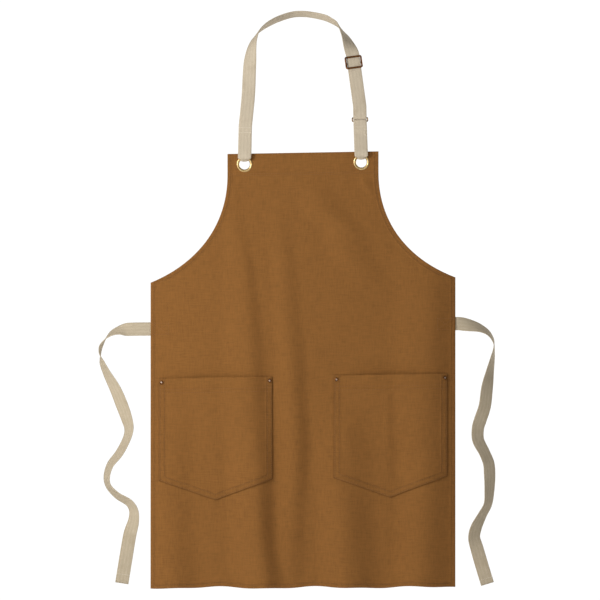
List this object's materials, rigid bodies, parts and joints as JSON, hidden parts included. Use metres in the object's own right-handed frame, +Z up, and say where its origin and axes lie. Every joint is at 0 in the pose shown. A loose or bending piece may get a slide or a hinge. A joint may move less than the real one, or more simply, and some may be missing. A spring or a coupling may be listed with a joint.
{
  "type": "butcher apron",
  "caption": "Bib apron in brown canvas with riveted patch pockets, a webbing neck strap on a metal slider and ring, and webbing waist ties.",
  "frame": {"origin": "middle of the inner face of the neck strap, where it rests on the back of the neck", "axes": "+Z up, the front of the apron faces -Y, +X to the right as seen from the front"},
  "size_m": [0.7552, 0.1202, 1.1048],
  "materials": {
    "canvas": "heavy brown duck canvas",
    "webbing": "natural cotton herringbone webbing",
    "eyelets": "pale polished brass",
    "strap_hardware": "antique copper, satin",
    "rivets": "antique copper with a rubbed bright centre"
  },
  "bodies": {
    "neck_strap": {"neck_strap": "webbing", "short_loop": "webbing", "ring": "strap_hardware", "strap_return_run": "webbing"},
    "slider": {"slider": "strap_hardware", "strap_end_tab": "webbing"},
    "apron": {"apron_panel": "canvas", "bib_top_facing": "canvas", "armhole_facing_left": "canvas", "armhole_facing_right": "canvas", "pocket_left": "canvas", "pocket_right": "canvas", "rivet_left_pocket_left_cap": "rivets", "rivet_left_pocket_left_foot": "rivets", "rivet_left_pocket_right_cap": "rivets", "rivet_left_pocket_right_foot": "rivets", "rivet_right_pocket_left_cap": "rivets", "rivet_right_pocket_left_foot": "rivets", "rivet_right_pocket_right_cap": "rivets", "rivet_right_pocket_right_foot": "rivets", "eyelet_left_barrel": "eyelets", "eyelet_left_washer": "eyelets", "eyelet_right_barrel": "eyelets", "eyelet_right_washer": "eyelets", "tie_end_left": "webbing", "tie_end_right": "webbing"},
    "tie_left": {"waist_tie_left": "webbing"},
    "tie_right": {"waist_tie_right": "webbing"}
  },
  "joints": [
    {"name": "apron_swing", "type": "hinge", "parent": "neck_strap", "child": "apron", "pos_m": [0, -0.0938, -0.2774], "axis": [0.9998, 0, 0.0175], "range_deg": [-30, 30]},
    {"name": "slider_slide", "type": "slide", "parent": "neck_strap", "child": "slider", "axis": [0.1302, -0.2223, -0.9662], "range_m": [-0.0015, 0.048], "deforming": ["strap_return_run"]},
    {"name": "tie_left_fold", "type": "hinge", "parent": "apron", "child": "tie_left", "pos_m": [-0.291, -0.09135, -0.6021], "axis": [0.0175, 0, -0.9998], "range_deg": [-80, 95]},
    {"name": "tie_right_fold", "type": "hinge", "parent": "apron", "child": "tie_right", "pos_m": [0.291, -0.09135, -0.5919], "axis": [-0.0175, 0, 0.9998], "range_deg": [-80, 95]}
  ]
}
